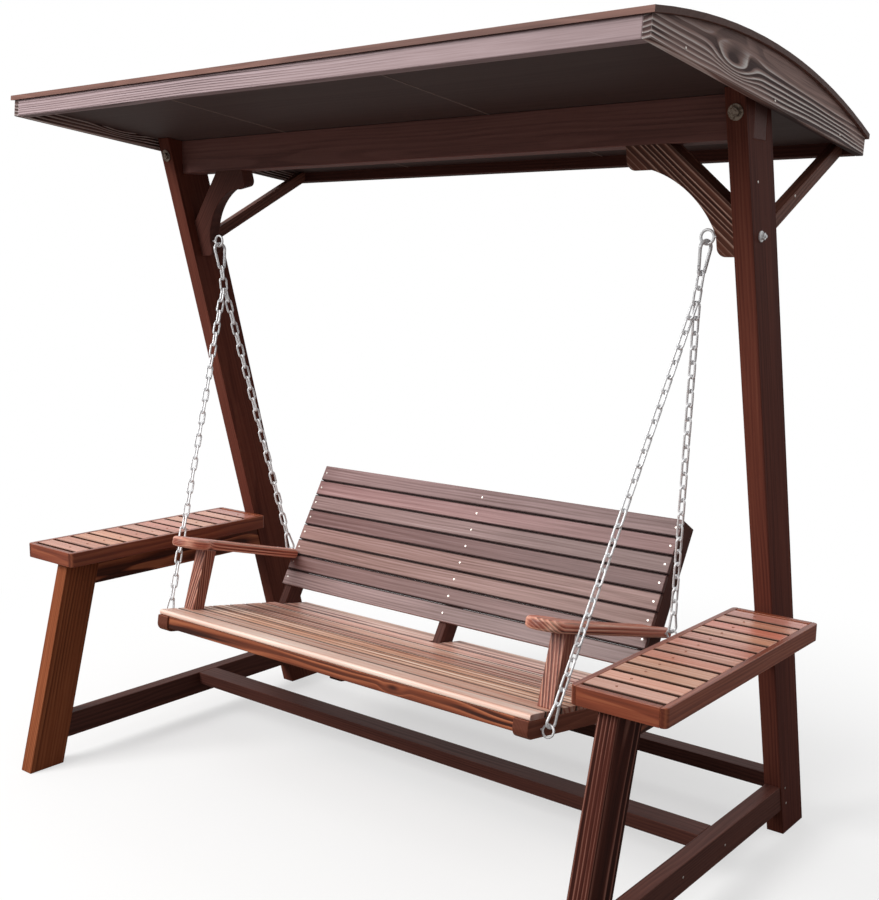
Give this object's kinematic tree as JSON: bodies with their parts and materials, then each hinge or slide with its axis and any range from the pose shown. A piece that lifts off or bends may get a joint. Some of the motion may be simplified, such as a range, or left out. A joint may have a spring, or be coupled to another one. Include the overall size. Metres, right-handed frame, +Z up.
{
  "type": "canopy swing",
  "caption": "Slatted timber swing bench hung on chains under a pitched, curved canopy, with a slatted side table at each end of its leaning frame.",
  "frame": {"origin": "on the floor, in the middle of the footprint", "axes": "+X to the right of a person facing the back of the bench, +Y to the rear, +Z up"},
  "size_m": [2.278, 1.2791, 2.0733],
  "materials": {
    "timber": "brushed grain, dark varnish",
    "panelling": "dark varnish, smooth",
    "roofing": "dark stained sheet",
    "zinc": "bright zinc plate"
  },
  "bodies": {
    "frame": {"left_front_leg": "timber", "left_rear_post": "timber", "left_bottom_rail": "timber", "left_table_bearer": "timber", "left_table_frame": "timber", "left_table_slats": "timber", "left_knee_brace": "timber", "left_roof_strut": "timber", "left_gable_board": "timber", "right_front_leg": "timber", "right_rear_post": "timber", "right_bottom_rail": "timber", "right_table_bearer": "timber", "right_table_frame": "timber", "right_table_slats": "timber", "right_knee_brace": "timber", "right_roof_strut": "timber", "right_gable_board": "timber", "centre_stretcher": "timber", "rear_stretcher": "timber", "top_beam": "timber", "front_fascia": "timber", "rear_fascia": "timber", "ceiling_panels": "panelling", "roof_ribs": "timber", "roof_sheet": "roofing", "left_hanger_eye": "zinc", "right_hanger_eye": "zinc", "beam_bolts": "zinc", "table_nails": "zinc"},
    "bench": {"left_seat_rail": "timber", "left_arm_post": "timber", "left_armrest": "timber", "left_back_stile": "timber", "right_seat_rail": "timber", "right_arm_post": "timber", "right_armrest": "timber", "right_back_stile": "timber", "middle_back_stile": "timber", "seat_centre_rail": "timber", "front_apron": "timber", "rear_seat_rail": "timber", "seat_slats": "timber", "back_slats": "timber", "seat_eyes": "zinc", "bench_nails": "zinc", "snap_hooks": "zinc", "left_top_chain": "zinc", "left_front_chain": "zinc", "left_rear_chain": "zinc", "right_top_chain": "zinc", "right_front_chain": "zinc", "right_rear_chain": "zinc"},
    "left_top_gate": {"left_top_gate": "zinc"},
    "left_front_gate": {"left_front_gate": "zinc"},
    "left_rear_gate": {"left_rear_gate": "zinc"},
    "right_top_gate": {"right_top_gate": "zinc"},
    "right_front_gate": {"right_front_gate": "zinc"},
    "right_rear_gate": {"right_rear_gate": "zinc"}
  },
  "joints": [
    {"name": "bench_swing", "type": "hinge", "parent": "frame", "child": "bench", "pos_m": [0, 0.09702, 1.63515], "axis": [1, 0, 0], "range_deg": [-30, 30]},
    {"name": "left_top_gate_hinge", "type": "hinge", "parent": "bench", "child": "left_top_gate", "pos_m": [-0.87145, 0.08684, 1.57691], "axis": [-0.9421, 0.3114, -0.1244], "range_deg": [0, 22], "stiffness_Nm_per_rad": 0.06, "springref_deg": -17.19},
    {"name": "left_front_gate_hinge", "type": "hinge", "parent": "bench", "child": "left_front_gate", "pos_m": [-0.72138, -0.25568, 0.52366], "axis": [-0.9466, 0.237, -0.2185], "range_deg": [0, 22], "stiffness_Nm_per_rad": 0.06, "springref_deg": -17.19},
    {"name": "left_rear_gate_hinge", "type": "hinge", "parent": "bench", "child": "left_rear_gate", "pos_m": [-0.74785, 0.28171, 0.64644], "axis": [-0.9459, 0.3202, -0.0525], "range_deg": [0, 22], "stiffness_Nm_per_rad": 0.06, "springref_deg": -17.19},
    {"name": "right_top_gate_hinge", "type": "hinge", "parent": "bench", "child": "right_top_gate", "pos_m": [0.86483, 0.08684, 1.57779], "axis": [-0.9421, 0.3114, 0.1244], "range_deg": [0, 22], "stiffness_Nm_per_rad": 0.06, "springref_deg": -17.19},
    {"name": "right_front_gate_hinge", "type": "hinge", "parent": "bench", "child": "right_front_gate", "pos_m": [0.72608, -0.25588, 0.52308], "axis": [-0.9492, 0.3143, 0.0142], "range_deg": [0, 22], "stiffness_Nm_per_rad": 0.06, "springref_deg": -17.19},
    {"name": "right_rear_gate_hinge", "type": "hinge", "parent": "bench", "child": "right_rear_gate", "pos_m": [0.75298, 0.28182, 0.64582], "axis": [-0.9442, 0.278, 0.1765], "range_deg": [0, 22], "stiffness_Nm_per_rad": 0.06, "springref_deg": -17.19}
  ]
}
